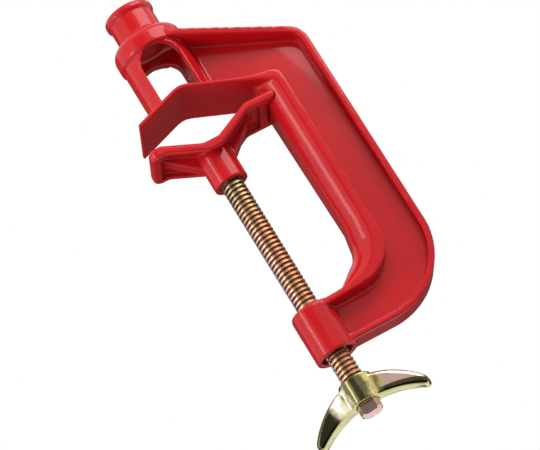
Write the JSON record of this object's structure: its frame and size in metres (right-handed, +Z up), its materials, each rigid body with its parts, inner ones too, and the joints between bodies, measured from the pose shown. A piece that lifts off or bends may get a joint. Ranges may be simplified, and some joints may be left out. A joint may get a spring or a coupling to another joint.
{
  "type": "screw clamp with lamp spigot",
  "caption": "Cast C clamp with a round lamp spigot on top, a fixed vee jaw and a moving vee jaw that a wing-handled screw drives along the spine.",
  "frame": {"origin": "centre of the spigot's seat on top of the collar", "axes": "+Z up along the spigot and the screw, +X towards the spine of the C, +Y across the frame"},
  "size_m": [0.1057, 0.0384, 0.2609],
  "materials": {
    "red_enamel": "glossy red enamel over a casting",
    "red_enamel_jaw": "glossy red enamel over a casting",
    "passivated_screw": "yellow passivated zinc on a rolled thread",
    "passivated_wing": "yellow passivated zinc on a smooth casting",
    "bright_steel": "plain bright steel"
  },
  "bodies": {
    "frame": {"clamp_frame": "red_enamel"},
    "jaw": {"moving_jaw": "red_enamel_jaw", "jaw_thrust_washer": "bright_steel"},
    "spindle": {"clamp_screw": "passivated_screw", "wing_handle": "passivated_wing", "jaw_retaining_ring": "bright_steel"}
  },
  "joints": [
    {"name": "clamp_travel", "type": "slide", "parent": "frame", "child": "jaw", "axis": [0, 0, 1], "range_m": [-0.072, 0.0036]},
    {"name": "screw_turn", "type": "hinge", "parent": "jaw", "child": "spindle", "pos_m": [0, 0, -0.15], "axis": [0, 0, 1], "range_deg": [-10204, 510]}
  ],
  "couplings": [
    {"joint": "clamp_travel", "follows": "screw_turn", "m_per_rad": 0.00040425}
  ]
}
